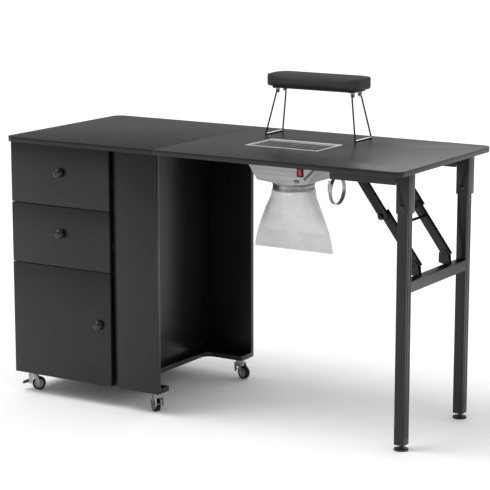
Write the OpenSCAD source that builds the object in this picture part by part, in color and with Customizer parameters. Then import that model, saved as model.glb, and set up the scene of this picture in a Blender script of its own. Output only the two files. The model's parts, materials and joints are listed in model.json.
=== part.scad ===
// Folding manicure table: cabinet on casters, hinged leaf with fan, folding leg frame, wrist rest.
// Millimetres. +X runs from the cabinet to the leg frame, +Y from the sitter's side to the back, +Z up.
// The origin is on the floor, under the middle of the table top.

/* [Table] */
// Length of the whole table top
top_l = 1310; // [1250:5:1350]
// Depth of the table top
top_w = 576; // [560:2:600]
// Height of the table top above the floor
top_h = 780; // [770:1:790]
// Thickness of the coated boards
board = 15; // [14:1:16]
// Radius of the top's outer corners
corner_r = 30; // [10:1:40]
// Distance from the left end to the seam between cabinet top and leaf
seam_x = 525; // [520:1:527]

/* [Cabinet] */
// Left face of the cabinet from the left end of the top
cab_x = 8; // [4:1:12]
// Width of the cabinet, fascia included
cab_w = 521; // [519:1:523]
// Front faces of drawers, door and fascia from the front edge of the top
cab_y = 20; // [19:1:24]
// Rear face of the cabinet from the front edge of the top
cab_back_y = 547; // [540:1:556]
// Clearance under the cabinet, where the casters are
cab_z = 62; // [62:1:62]
// Width of the drawer fronts and the door
front_w = 355; // [350:1:358]
// Depth of the fascia's left edge from the left end of the top
fascia_x = 390; // [386:1:396]
// Height of a drawer front
drawer_front_h = 179; // [170:1:180]
// Length of the drawer boxes
drawer_l = 440; // [380:5:460]

/* [Leg frame] */
// Side of the square leg tube
leg = 30; // [25:1:32]
// Middle of the leg tubes along the table
leg_x = 1277; // [1270:1:1280]
// Middle of the front leg from the front edge of the top
leg_front_y = 97; // [90:1:105]
// Middle of the rear leg from the front edge of the top
leg_rear_y = 464; // [455:1:475]
// Height of the leg pivots above the floor
pivot_z = 710; // [705:1:715]
// Underside of the crossbar above the floor
crossbar_z = 438; // [430:1:445]

/* [Fan] */
// Grille frame length along the table
grille_l = 237; // [225:1:240]
// Grille frame depth
grille_w = 148; // [140:1:152]
// Middle of the fan along the table
fan_x = 822; // [815:1:830]
// Middle of the fan from the front edge of the top
fan_y = 289; // [285:1:295]
// Outer radius of the outlet collar
collar_r = 58.5; // [56:0.5:61]
// Length of the dust bag's bottom seam
bag_w = 260; // [220:5:270]
// Bottom seam of the dust bag above the floor
bag_z = 476; // [460:1:500]

/* [Wrist rest] */
// Length of the wrist rest cushion
rest_l = 314; // [300:2:320]
// Depth of the wrist rest cushion
rest_w = 102; // [94:1:106]
// Thickness of the cushion
rest_t = 38; // [34:1:42]
// Middle of the wrist rest along the table
rest_x = 791; // [780:1:800]
// Middle of the wrist rest from the front edge of the top
rest_y = 482.5; // [470:0.5:495]

/* [Hidden] */
$fn = 48;
e = 0.5;                                  // overshoot of a cut past the face that it opens
run = 0.05;                               // radial clearance of a running fit
under = top_h - board;                    // underside of the boards of the top
door_gap = 0.5;                           // gap between the fronts and the carcass edges
reveal = 2;                               // gap between neighbouring fronts
carcass_y = cab_y + board;
cab_right = cab_x + cab_w;
inner_x = cab_x + board;
part_x = cab_x + front_w + 2;             // left face of the partition
part_right = part_x + board;
floor_z = cab_z + board;                  // top of the bottom board
thin_back = 6;
upper_front_z = under - reveal - drawer_front_h;
lower_front_z = upper_front_z - reveal - drawer_front_h;
door_top = lower_front_z - reveal;
shelf_z = door_top - 8;
notch_x = 400;                            // left edge of the foot notch in the bottom board
notch_y0 = 77;
notch_y1 = 475;
notch_r = 30;
hinge_x = cab_right + 4;                  // axis of the seam hinges
hinge_z = under - 4.2;
knuckle_r = 3.4;
hinge_ys = [172, 311, 450];
rail_drop = 24;                           // height of the rail that carries the seam hinges
hinge_l = 60;
box_wall = 12;
box_floor = 5;
box_h = 140;
box_x = inner_x + 15;
box_w = part_x - inner_x - 30;
runner_h = 32;
knob_l = 20;
wheel_r = 20;
wheel_w = 16;
trail = 16;                               // caster axle behind the swivel axis
axle_r = 3;
fork_half = 10.4;                         // inner face of a fork arm from the wheel's middle
casters = [[44, 60, 32], [507, 51, 148], [46, 506, 20], [505, 506, -15]];   // x, y, trail angle
leg_top = pivot_z + 10;
bracket_z = under - 109;                  // lower end of the leg brackets
tube_wall = 1.5;
foot_top = 16;                            // lower end of the leg tubes
pivot_r = 4;
bracket_gap = 1;
sheet = 2;
crossbar_top = crossbar_z + leg;
brace_front_y = 184.5;                    // plane between the upper and lower link of the front brace
brace_rear_y = 384.5;
link_w = 13.5;
anchor = [1080.1, 740.3];                 // x, z of the upper brace pivots
knee = [1166, 624];                       // x, z of the knee pivots
lower_pin = [1261, 495];                  // x, z of the lower brace pivots
link_in = 6;                              // link edge on the knob side of the pivot line
link_out = 19;                            // link edge on the other side
tie = [1197, 598];                        // x, z of the tie rod
house_w = 173;
house_z = under - 77;                     // underside of the fan housing
house_left = [fan_x - 124, fan_x - 72];   // left wall at the top and at the bottom
house_right = [fan_x + 144.5, fan_x + 94];
skin = 2.5;
house_y = fan_y - house_w / 2;
outlet_z = house_z - 36;
funnel_z = house_z - 14;                   // where the funnel meets the collar
shaft_r = 3;
cutout_l = grille_l - 8;
cutout_w = grille_w - 8;
rim_t = 1.5;
switch_x = fan_x + 71.5;
switch_z = house_z + 31;
rocker_tilt = 6;
ring_c = [983, 255, 669];                 // middle of the spare clamp
ring_r = 41;
wire_r = 2.5;
wire_z = top_h + wire_r;
rest_z = top_h + 144.5;                   // underside of the cushion
wire_top = [126, 27, rest_z - 13.5];      // wire pivots from the rest's middle
wire_foot = [150.5, 49];                  // foot bar ends from the rest's middle
cup_x = cab_x + 24;
cup_zs = [cab_z + 60, door_top - 60];
fork_shape = [[-14, 49], [12, 49], [21.5, 22], [19.5, 14], [12.5, 14],
              [8, 30], [2, 40], [-4, 36], [-5, 21], [-13, 21]];
rail_x0 = 1055;
rail_h = 34;
slat_n = 5;
impeller_z = house_z + skin + 34;

// Arc of points about a centre, in degrees.
function arc(c, r, a0, a1, n = 8) =
  [for (i = [0:n]) c + r * [cos(a0 + (a1 - a0) * i / n), sin(a0 + (a1 - a0) * i / n)]];

// Moves from table corner coordinates to the part's own frame.
module place() {
  translate([-top_l / 2, -top_w / 2, 0]) children();
}

// Box from its low corner to its high corner.
module span(a, b) {
  translate(a) cube(b - a);
}

// Cylinder along +Y from y0 to y1 at x, z.
module pin_y(x, z, y0, y1, r) {
  translate([x, y0, z]) rotate([-90, 0, 0]) cylinder(h = y1 - y0, r = r);
}

// Round bar between two points.
module bar(a, b, r) {
  d = b - a;
  len = norm(d);
  translate(a) rotate([0, acos(d.z / len), atan2(d.y, d.x)]) cylinder(h = len, r = r, $fn = 24);
}

// ---- cabinet ----

module cabinet_top() color([0.09, 0.09, 0.095]) place() {
  translate([0, 0, under]) linear_extrude(board) polygon(concat(
    arc([corner_r, corner_r], corner_r, 270, 180),
    arc([corner_r, top_w - corner_r], corner_r, 180, 90),
    [[seam_x - 0.5, top_w], [seam_x - 0.5, 0]]));
}

module left_side() color([0.08, 0.08, 0.085]) place() {
  span([cab_x, carcass_y, cab_z], [inner_x, cab_back_y, under]);
}

module partition() color([0.08, 0.08, 0.085]) place() {
  span([part_x, carcass_y, floor_z], [part_right, cab_back_y - thin_back, under]);
}

module back_panel() color([0.12, 0.12, 0.12]) place() {
  span([inner_x, cab_back_y - thin_back, floor_z], [part_x + board, cab_back_y, under]);
}

module rear_panel() color([0.08, 0.08, 0.085]) place() {
  span([part_right, cab_back_y - board, floor_z], [cab_right, cab_back_y, under]);
}

module fascia() color([0.09, 0.09, 0.095]) place() {
  span([fascia_x, cab_y, cab_z], [cab_right, carcass_y, under]);
}

// The bottom board is a U, so that the folded legs and the sitter's feet have room.
module bottom_board() color([0.08, 0.08, 0.085]) place() {
  translate([0, 0, cab_z]) linear_extrude(board) polygon(concat(
    [[inner_x, carcass_y], [cab_right, carcass_y], [cab_right, notch_y0]],
    arc([notch_x + notch_r, notch_y0 + notch_r], notch_r, 270, 180),
    arc([notch_x + notch_r, notch_y1 - notch_r], notch_r, 180, 90),
    [[cab_right, notch_y1], [cab_right, cab_back_y], [inner_x, cab_back_y]]));
}

module shelf() color([0.08, 0.08, 0.085]) place() {
  span([inner_x, carcass_y, shelf_z], [part_x, cab_back_y - thin_back, shelf_z + board]);
}

module hinge_rail() color([0.08, 0.08, 0.085]) place() {
  span([cab_right - board, carcass_y + 100, under - rail_drop], [cab_right, cab_back_y - board, under]);
}

// C-shaped runner fixed to a wall; dir is +1 when it opens towards +X.
module runner_fixed(x, z, dir) {
  difference() {
    span([min(x, x + 8 * dir), carcass_y + 5, z - runner_h / 2],
         [max(x, x + 8 * dir), carcass_y + 5 + drawer_l, z + runner_h / 2]);
    span([min(x + 2 * dir, x + 9 * dir), carcass_y + 5 - e, z - 12],
         [max(x + 2 * dir, x + 9 * dir), carcass_y + 5 + drawer_l + e, z + 12]);
  }
}

module drawer_runners() color([0.75, 0.76, 0.78]) place() {
  for (z = [upper_front_z, lower_front_z]) {
    runner_fixed(inner_x, z + 76, 1);
    runner_fixed(part_x, z + 76, -1);
  }
}

// Knuckles i0, i0 + 2, ... of a five-knuckle hinge that starts at y.
module knuckles(y, first, trim, r) {
  step = hinge_l / 5;
  for (i = [first:2:4]) pin_y(hinge_x, hinge_z, y + i * step + trim, y + (i + 1) * step - trim, r);
}

module seam_hinge_fixed() color([0.7, 0.71, 0.73]) place() {
  step = hinge_l / 5;
  for (c = hinge_ys) {
    y = c - hinge_l / 2;
    knuckles(y, 0, 0, knuckle_r);
    pin_y(hinge_x, hinge_z, y, y + hinge_l, 1.5);
    span([cab_right, y, hinge_z - 17], [cab_right + 1.5, y + hinge_l, hinge_z - 4.5]);
    for (i = [0, 2, 4])
      span([cab_right, y + i * step, hinge_z - 5], [cab_right + 1.5, y + (i + 1) * step, hinge_z]);
  }
}

module door_hinge_arms() color([0.75, 0.76, 0.78]) place() {
  for (z = [cab_z + 60, door_top - 60]) {
    span([inner_x, carcass_y + 25, z - 22], [inner_x + 2, carcass_y + 60, z + 22]);
    span([inner_x + 2, carcass_y + 1.5, z - 6], [inner_x + 13, carcass_y + 58, z + 6]);
  }
}

module caster_plates() color([0.78, 0.79, 0.8]) place() {
  for (c = casters) {
    difference() {
      span([c.x - 22, c.y - 22, cab_z - 2.5], [c.x + 22, c.y + 22, cab_z]);
      for (i = [-1, 1], j = [-1, 1])
        translate([c.x + 16 * i, c.y + 16 * j, cab_z - 3]) cylinder(h = 4, r = 2.4);
    }
    for (i = [-1, 1], j = [-1, 1])
      translate([c.x + 16 * i, c.y + 16 * j, cab_z - 4.5]) cylinder(h = 4.5, r = 2.2);
  }
}

// ---- drawers and door ----

module front_board(z0, z1) {
  span([cab_x, cab_y, z0], [cab_x + front_w, carcass_y - door_gap, z1]);
}

// Mushroom knob that stands on the front face.
module knob(x, z) {
  translate([x, cab_y, z]) rotate([90, 0, 0]) rotate_extrude()
    polygon(concat([[0, 0], [9, 0], [6, 3], [6, 8], [12.8, 11]],
      arc([5.4, 10.8], 9.1, 5, 85, 8), [[0, knob_l]]));
}

module drawer_box(z) {
  y0 = carcass_y - door_gap;
  difference() {
    span([box_x, y0, z], [box_x + box_w, y0 + drawer_l, z + box_h]);
    span([box_x + box_wall, y0 + box_wall, z + 6 + box_floor],
         [box_x + box_w - box_wall, y0 + drawer_l - box_wall, z + box_h + e]);
    span([box_x + box_wall, y0 + box_wall, z - e],
         [box_x + box_w - box_wall, y0 + drawer_l - box_wall, z + 6]);
  }
}

// Moving half of the runners: a tongue in each C and a strip on the box side.
module drawer_slides(z) {
  y0 = carcass_y + 5;
  y1 = y0 + drawer_l - 6;
  span([inner_x + 3, y0, z - 11], [box_x, y1, z + 11]);
  span([box_x + box_w, y0, z - 11], [part_x - 3, y1, z + 11]);
}

module upper_drawer_front() color([0.09, 0.09, 0.095]) place() {
  front_board(upper_front_z, under - reveal);
}

module upper_drawer_box() color([0.2, 0.2, 0.2]) place() drawer_box(upper_front_z + 18);

module upper_drawer_knob() color([0.05, 0.05, 0.05]) place()
  knob(cab_x + front_w / 2 + 1.5, upper_front_z + 99);

module upper_drawer_slides() color([0.8, 0.81, 0.82]) place() drawer_slides(upper_front_z + 76);

module lower_drawer_front() color([0.09, 0.09, 0.095]) place() {
  front_board(lower_front_z, upper_front_z - reveal);
}

module lower_drawer_box() color([0.2, 0.2, 0.2]) place() drawer_box(lower_front_z + 18);

module lower_drawer_knob() color([0.05, 0.05, 0.05]) place()
  knob(cab_x + front_w / 2 + 1.5, lower_front_z + 99);

module lower_drawer_slides() color([0.8, 0.81, 0.82]) place() drawer_slides(lower_front_z + 76);

module door_panel() color([0.09, 0.09, 0.095]) place() {
  difference() {
    front_board(cab_z, door_top);
    for (z = cup_zs) pin_y(cup_x, z, carcass_y - door_gap - 11, carcass_y, 17.5);
  }
}

module door_knob() color([0.05, 0.05, 0.05]) place() knob(cab_x + front_w - 40, cab_z + 181);

module door_hinge_cups() color([0.75, 0.76, 0.78]) place() {
  for (z = cup_zs) difference() {
    pin_y(cup_x, z, carcass_y - door_gap - 11, carcass_y - door_gap, 17.4);
    span([cup_x - 8, carcass_y - 9, z - 8], [cup_x + 10, carcass_y, z + 8]);
  }
}

// ---- casters: local +X is the trail direction, the swivel axis is the local Z axis ----

module at_caster(i) {
  place() translate([casters[i].x, casters[i].y, 0]) rotate([0, 0, casters[i].z]) children();
}

module caster_fork(i) color([0.75, 0.76, 0.78]) at_caster(i) {
  translate([0, 0, 48.5]) cylinder(h = 10.6, r = 14);
  translate([-14, -fork_half - 2, 46.5]) cube([29, 2 * fork_half + 4, 2.5]);
  for (s = [-fork_half - 2, fork_half])
    translate([0, s + 2, 0]) rotate([90, 0, 0]) linear_extrude(2) polygon(fork_shape);
  pin_y(trail, wheel_r, -fork_half - 4, fork_half + 4, axle_r);
  pin_y(-9, 27, -fork_half - 3, fork_half + 3, 1.5);
}

module caster_wheel(i) color([0.1, 0.1, 0.1]) at_caster(i) {
  difference() {
    pin_y(trail, wheel_r, -wheel_w / 2, wheel_w / 2, wheel_r);
    pin_y(trail, wheel_r, -wheel_w / 2 - e, wheel_w / 2 + e, axle_r + run);
    for (s = [-1, 1]) translate([trail, s * wheel_w / 2, wheel_r]) rotate([90, 0, 0])
      difference() {
        cylinder(h = 5, r = 13.5, center = true);
        cylinder(h = 6, r = 6, center = true);
      }
  }
}

module brake_pedal(i) color([0.06, 0.06, 0.06]) at_caster(i) {
  difference() {
    translate([0, 9.2, 0]) rotate([90, 0, 0]) linear_extrude(18.4)
      polygon([[-6.2, 24], [-6.2, 30], [-14, 31], [-32, 25], [-34, 21], [-30, 20], [-13, 24.5]]);
    pin_y(-9, 27, -10, 10, 1.5 + run);
  }
}

module caster_fork_fl() caster_fork(0);
module caster_fork_fr() caster_fork(1);
module caster_fork_rl() caster_fork(2);
module caster_fork_rr() caster_fork(3);
module caster_wheel_fl() caster_wheel(0);
module caster_wheel_fr() caster_wheel(1);
module caster_wheel_rl() caster_wheel(2);
module caster_wheel_rr() caster_wheel(3);
module brake_pedal_fl() brake_pedal(0);
module brake_pedal_rl() brake_pedal(2);

// ---- leaf ----

module leaf_board() color([0.09, 0.09, 0.095]) place() {
  difference() {
    translate([0, 0, under]) linear_extrude(board) polygon(concat(
      [[seam_x + 0.5, 0]],
      arc([top_l - corner_r, corner_r], corner_r, -90, 0),
      arc([top_l - corner_r, top_w - corner_r], corner_r, 0, 90),
      [[seam_x + 0.5, top_w]]));
    span([fan_x - cutout_l / 2, fan_y - cutout_w / 2, under - e],
         [fan_x + cutout_l / 2, fan_y + cutout_w / 2, top_h + e]);
  }
}

module seam_hinge_moving() color([0.7, 0.71, 0.73]) place() {
  step = hinge_l / 5;
  for (c = hinge_ys) {
    y = c - hinge_l / 2;
    difference() {
      union() {
        knuckles(y, 1, 0.3, knuckle_r);
        for (i = [1, 3])
          span([hinge_x, y + i * step + 0.3, under - 1.5], [hinge_x + 5, y + (i + 1) * step - 0.3, under]);
        span([hinge_x + 4.5, y, under - 1.5], [hinge_x + 42, y + hinge_l, under]);
      }
      pin_y(hinge_x, hinge_z, y - e, y + hinge_l + e, 1.5 + run);
    }
  }
}

module side_rails() color([0.05, 0.05, 0.05]) place() {
  for (y = [leg_front_y, leg_rear_y]) difference() {
    span([rail_x0, y - 16, under - rail_h], [leg_x - 20, y + 16, under]);
    span([rail_x0 - e, y - 16 + sheet, under - rail_h - e], [leg_x - 20 + e, y + 16 - sheet, under - sheet]);
  }
}

// Bracket that the leg folds out of: open below and towards the cabinet.
module leg_bracket(y) {
  w = leg / 2 + bracket_gap;
  difference() {
    span([leg_x - 18, y - w - sheet, bracket_z], [leg_x + 20, y + w + sheet, under]);
    span([leg_x - 18 - e, y - w, bracket_z - e], [leg_x + 18, y + w, under - sheet]);
  }
  pin_y(leg_x, pivot_z, y - w - sheet, y + w + sheet, pivot_r);
  for (s = [y - w - sheet - 3, y + w + sheet - e]) pin_y(leg_x, bracket_z + 19, s, s + 3 + e, 6.5);
}

module leg_brackets() color([0.05, 0.05, 0.05]) place() {
  leg_bracket(leg_front_y);
  leg_bracket(leg_rear_y);
}

// Front brace as drawn, or mirrored to the rear brace's plane.
module both_braces() {
  children();
  translate([0, brace_rear_y + brace_front_y, 0]) mirror([0, 1, 0]) children();
}

module brace_anchors() color([0.05, 0.05, 0.05]) place() both_braces() {
  for (y = [brace_front_y - link_w - 4, brace_front_y + 1.5])
    translate([0, y + sheet, 0]) rotate([90, 0, 0]) linear_extrude(sheet) polygon(concat(
      [[anchor.x - 14, under]], arc([anchor.x, anchor.y], 11, 180, 360), [[anchor.x + 14, under]]));
  span([anchor.x - 14, brace_front_y - link_w - 4, under - sheet],
       [anchor.x + 14, brace_front_y + 3.5, under]);
  pin_y(anchor.x, anchor.y, brace_front_y - link_w - 6, brace_front_y + 5, pivot_r);
}

// ---- fan ----

module house_profile(t) {
  polygon([[house_left[0] + t, under + 2 * t], [house_left[1] + t, house_z + t],
    [house_right[1] - t, house_z + t], [house_right[0] - t, under + 2 * t]]);
}

module fan_housing() color([0.68, 0.68, 0.68]) place() {
  difference() {
    union() {
      difference() {
        translate([0, house_y + house_w, 0]) rotate([90, 0, 0]) linear_extrude(house_w) house_profile(0);
        translate([0, house_y + house_w - skin, 0]) rotate([90, 0, 0])
          linear_extrude(house_w - 2 * skin) house_profile(skin);
      }
      translate([fan_x, fan_y, outlet_z]) cylinder(h = house_z - outlet_z + 1, r = collar_r, $fn = 96);
      hull() {
        translate([fan_x, fan_y, funnel_z]) cylinder(h = 1, r = collar_r + 0.5, $fn = 96);
        span([house_left[1] + 0.5, house_y + 0.5, house_z - 1],
             [house_right[1] - 0.5, house_y + house_w - 0.5, house_z + 1]);
      }
    }
    translate([fan_x, fan_y, outlet_z - e])
      cylinder(h = house_z - outlet_z + 9, r = collar_r - skin, $fn = 96);
    span([switch_x - 8, house_y - e, switch_z - 11.5], [switch_x + 8, house_y + skin + e, switch_z + 11.5]);
  }
}

// Motor on a spider that stands on the housing floor.
module fan_motor() color([0.15, 0.15, 0.16]) place() translate([fan_x, fan_y, house_z + skin]) {
  difference() {
    cylinder(h = 2.5, r = 68);
    translate([0, 0, -e]) cylinder(h = 4, r = 58);
  }
  for (a = [0, 120, 240]) rotate([0, 0, a + 30]) translate([20, -5, 0.5]) cube([42, 10, 1.5]);
  cylinder(h = 30, r = 26);
  cylinder(h = 58, r = shaft_r);
}

module impeller() color([0.85, 0.85, 0.86]) place() translate([fan_x, fan_y, impeller_z]) {
  difference() {
    union() {
      cylinder(h = 20, r = 24);
      for (i = [0:6]) rotate([0, 0, i * 360 / 7]) translate([22, 0, 10]) rotate([32, 0, 0])
        translate([0, -14, -1]) cube([38, 28, 2]);
    }
    translate([0, 0, -e]) cylinder(h = 22, r = shaft_r + run);
  }
}

module grille_frame() color([0.8, 0.8, 0.81]) place() {
  difference() {
    union() {
      span([fan_x - grille_l / 2, fan_y - grille_w / 2, top_h],
           [fan_x + grille_l / 2, fan_y + grille_w / 2, top_h + rim_t]);
      span([fan_x - cutout_l / 2 + 0.2, fan_y - cutout_w / 2 + 0.2, top_h - 9],
           [fan_x + cutout_l / 2 - 0.2, fan_y + cutout_w / 2 - 0.2, top_h + 1]);
    }
    span([fan_x - cutout_l / 2 + 2, fan_y - cutout_w / 2 + 2, top_h - 10],
         [fan_x + cutout_l / 2 - 2, fan_y + cutout_w / 2 - 2, top_h + rim_t + e]);
  }
}

module grille_slats() color([0.7, 0.7, 0.71]) place() {
  pitch = (cutout_w - 4) / (slat_n + 1);
  for (i = [1:slat_n])
    span([fan_x - cutout_l / 2 + 2, fan_y - cutout_w / 2 + 2 + i * pitch - 3.5, top_h - 4],
         [fan_x + cutout_l / 2 - 2, fan_y - cutout_w / 2 + 2 + i * pitch + 3.5, top_h - 1]);
}

module switch_bezel() color([0.04, 0.04, 0.04]) place() {
  difference() {
    span([switch_x - 9, house_y - 2, switch_z - 12.5], [switch_x + 9, house_y, switch_z + 12.5]);
    span([switch_x - 6.6, house_y - 3, switch_z - 10.6], [switch_x + 6.6, house_y + 1, switch_z + 10.6]);
  }
}

module switch_rocker() color([0.75, 0.05, 0.05]) place() translate([switch_x, house_y + 2, switch_z])
  rotate([rocker_tilt, 0, 0]) span([-5.8, -5.5, -9.1], [5.8, 4, 9.1]);

// Socket for a detachable lead, on the housing's rear wall.
module power_inlet() color([0.06, 0.06, 0.06]) place()
  translate([fan_x - 30, house_y + house_w, house_z + 34]) {
  difference() {
    span([-15, 0, -11], [15, 7, 11]);
    span([-11, 2, -7], [11, 8, 7]);
  }
  for (x = [-6, 0, 6]) span([x - 1, 2, -1], [x + 1, 6, 2]);
}

module bag_clamp() color([0.5, 0.5, 0.5]) place() translate([fan_x, fan_y, outlet_z + 2]) {
  difference() {
    union() {
      cylinder(h = 17, r = collar_r + 3, $fn = 96);
      rotate([0, 0, 80]) translate([collar_r, -9, 3]) cube([9, 18, 10]);
    }
    translate([0, 0, -e]) cylinder(h = 19, r = collar_r + 0.8, $fn = 96);
  }
}

module dust_bag() color([0.86, 0.86, 0.86]) place() {
  hull() {
    translate([fan_x, fan_y, outlet_z - 1]) cylinder(h = 0.6, r = collar_r, $fn = 32);
    translate([fan_x, fan_y, outlet_z - 70]) scale([1, 0.62, 1]) cylinder(h = 1, r = 98, $fn = 32);
    span([fan_x - bag_w / 2, fan_y - 5, bag_z], [fan_x + bag_w / 2, fan_y + 5, bag_z + 2]);
  }
}

// Spare hose clamp on a wire hook.
module spare_clamp() color([0.35, 0.35, 0.36]) place() {
  translate(ring_c) rotate([0, 90, 0]) difference() {
    cylinder(h = 12, r = ring_r, center = true, $fn = 72);
    cylinder(h = 14, r = ring_r - 1.2, center = true, $fn = 72);
  }
  span([ring_c.x - 6, ring_c.y - ring_r - 5, ring_c.z + 2],
       [ring_c.x + 6, ring_c.y - ring_r + 0.5, ring_c.z + 28]);
  bar([ring_c.x, ring_c.y - ring_r - 5, ring_c.z + 4], [ring_c.x, ring_c.y - ring_r - 5, ring_c.z + 33], 3.5);
  bar([ring_c.x - 9, ring_c.y, under], [ring_c.x - 9, ring_c.y, ring_c.z + ring_r - 5.5], 2);
  bar([ring_c.x - 9, ring_c.y, ring_c.z + ring_r - 3.4],
      [ring_c.x + 9, ring_c.y, ring_c.z + ring_r - 3.4], 2);
}

// ---- leg frame and braces ----

module leg_tube(y) {
  difference() {
    span([leg_x - leg / 2, y - leg / 2, foot_top], [leg_x + leg / 2, y + leg / 2, leg_top]);
    span([leg_x - leg / 2 + tube_wall, y - leg / 2 + tube_wall, foot_top + 20],
         [leg_x + leg / 2 - tube_wall, y + leg / 2 - tube_wall, leg_top + e]);
    pin_y(leg_x, pivot_z, y - leg, y + leg, pivot_r + run);
    translate([leg_x, y, foot_top - e]) cylinder(h = 22, r = pivot_r + run);
  }
}

module leg_frame() color([0.06, 0.06, 0.06]) place() {
  leg_tube(leg_front_y);
  leg_tube(leg_rear_y);
  difference() {
    span([leg_x - leg / 2, leg_front_y + leg / 2 - 0.2, crossbar_z],
         [leg_x + leg / 2, leg_rear_y - leg / 2 + 0.2, crossbar_top]);
    span([leg_x - leg / 2 + tube_wall, leg_front_y + leg / 2 + 1, crossbar_z + tube_wall],
         [leg_x + leg / 2 - tube_wall, leg_rear_y - leg / 2 - 1, crossbar_top - tube_wall]);
  }
  both_braces() {
    for (y = [brace_front_y - 3.5, brace_front_y + link_w + 1.5])
      translate([0, y + sheet, 0]) rotate([90, 0, 0]) linear_extrude(sheet) polygon(concat(
        [[lower_pin.x + 17, crossbar_top - 0.2]], arc([lower_pin.x, lower_pin.y], 14, 10, 180),
        [[lower_pin.x - 14, crossbar_top + 4], [leg_x - leg / 2 + 1, crossbar_top - 0.2]]));
    pin_y(lower_pin.x, lower_pin.y, brace_front_y - 6, brace_front_y + link_w + 6, pivot_r);
  }
}

module foot(y) {
  translate([leg_x, y, 0]) {
    cylinder(h = 5, r = 20);
    cylinder(h = 7.5, r = 8);
    cylinder(h = 34, r = pivot_r);
  }
}

module foot_front() color([0.05, 0.05, 0.05]) place() foot(leg_front_y);

module foot_rear() color([0.05, 0.05, 0.05]) place() foot(leg_rear_y);

// Channel link from pivot a to pivot b, x and z; bore_a leaves a bore at a.
module link(a, b, y0, bore) {
  d = b - a;
  len = norm(d);
  translate([a.x, y0, a.y]) rotate([0, -atan2(d.y, d.x), 0]) difference() {
    span([-9, 0, -link_in], [len + 9, link_w - 0.5, link_out]);
    span([-10, 2, -link_in - e], [len + 10, link_w - 2.5, link_out - 2.5]);
    translate([bore, -e, 0]) rotate([-90, 0, 0]) cylinder(h = link_w + 2 * e, r = pivot_r + run);
  }
}

// Dome head of a knee rivet, pointing to -Y.
module dome(p, y) {
  translate([p.x, y, p.y]) rotate([90, 0, 0]) rotate_extrude()
    polygon(concat([[0, 0], [9, 0], [9, 2]], arc([3, 1.5], 6, 5, 85, 6), [[0, 7.5]]));
}

module upper_braces() color([0.05, 0.05, 0.05]) place() both_braces() {
  link(anchor, knee, brace_front_y - link_w, 0);
  dome(knee, brace_front_y - link_w + 0.2);
}

module lower_braces() color([0.05, 0.05, 0.05]) place() {
  both_braces() {
    link(knee, lower_pin, brace_front_y + 0.5, norm(lower_pin - knee));
    translate([0, 2 * brace_front_y + link_w, 0]) mirror([0, 1, 0]) dome(knee, brace_front_y + 0.2);
  }
  pin_y(tie.x, tie.y, brace_front_y + link_w - 1.5, brace_rear_y - link_w + 1.5, pivot_r);
}

// ---- wrist rest ----

module rest_base() color([0.12, 0.12, 0.12]) place() {
  span([rest_x - rest_l / 2 + 20, rest_y - rest_w / 2 + 16, rest_z - 5],
       [rest_x + rest_l / 2 - 20, rest_y + rest_w / 2 - 16, rest_z]);
}

// Four bent clips under the base, which the wires turn in.
module rest_clips() color([0.75, 0.75, 0.76]) place() {
  for (s = [-1, 1], t = [-1, 1]) {
    x = rest_x + s * wire_top.x;
    y = rest_y + t * 21;
    difference() {
      hull() {
        pin_y(x, wire_top.z, y - 1.5, y + 1.5, 7);
        span([x - 7, y - 1.5, rest_z - 6], [x + 7, y + 1.5, rest_z - 5.05]);
      }
      pin_y(x, wire_top.z, y - 2, y + 2, wire_r + run);
    }
    span([x - 7, min(y - 1.5, y - 1.5 + t * 14), rest_z - 6.05],
         [x + 7, max(y + 1.5, y + 1.5 + t * 14), rest_z - 5.05]);
  }
}

module rest_cushion() color([0.07, 0.07, 0.07]) place() {
  r = 22;
  x = rest_l / 2 - r;
  y = rest_w / 2 - r;
  translate([rest_x, rest_y, rest_z]) linear_extrude(rest_t) polygon(concat(
    arc([x, -y], r, -90, 0), arc([x, y], r, 0, 90), arc([-x, y], r, 90, 180), arc([-x, -y], r, 180, 270)));
}

// Wire leg; s is -1 for the left one and +1 for the right one.
module rest_wire(s) {
  foot_x = rest_x + s * wire_foot[0];
  top_x = rest_x + s * wire_top.x;
  bar([foot_x, rest_y - wire_foot[1], wire_z], [foot_x, rest_y + wire_foot[1], wire_z], wire_r);
  for (t = [-1, 1]) {
    translate([foot_x, rest_y + t * wire_foot[1], wire_z]) sphere(r = wire_r, $fn = 24);
    bar([foot_x, rest_y + t * wire_foot[1], wire_z], [top_x, rest_y + t * wire_top.y, wire_top.z], wire_r);
    translate([top_x, rest_y + t * wire_top.y, wire_top.z]) sphere(r = wire_r + 0.2, $fn = 24);
    bar([top_x, rest_y + t * wire_top.y, wire_top.z], [top_x, rest_y + t * 16, wire_top.z], wire_r);
  }
}

module rest_wire_left() color([0.85, 0.85, 0.86]) place() rest_wire(-1);

module rest_wire_right() color([0.85, 0.85, 0.86]) place() rest_wire(1);

cabinet_top();
left_side();
partition();
back_panel();
rear_panel();
fascia();
bottom_board();
shelf();
hinge_rail();
drawer_runners();
seam_hinge_fixed();
door_hinge_arms();
caster_plates();
upper_drawer_front();
upper_drawer_box();
upper_drawer_knob();
upper_drawer_slides();
lower_drawer_front();
lower_drawer_box();
lower_drawer_knob();
lower_drawer_slides();
door_panel();
door_knob();
door_hinge_cups();
caster_fork_fl();
caster_fork_fr();
caster_fork_rl();
caster_fork_rr();
caster_wheel_fl();
caster_wheel_fr();
caster_wheel_rl();
caster_wheel_rr();
brake_pedal_fl();
brake_pedal_rl();
leaf_board();
seam_hinge_moving();
side_rails();
leg_brackets();
brace_anchors();
fan_housing();
fan_motor();
impeller();
grille_frame();
grille_slats();
switch_bezel();
switch_rocker();
power_inlet();
bag_clamp();
dust_bag();
spare_clamp();
leg_frame();
foot_front();
foot_rear();
upper_braces();
lower_braces();
rest_base();
rest_clips();
rest_cushion();
rest_wire_left();
rest_wire_right();
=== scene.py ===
# Looks of the folding manicure table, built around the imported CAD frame. Metres, same axes as the CAD.
import json
import math

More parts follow.
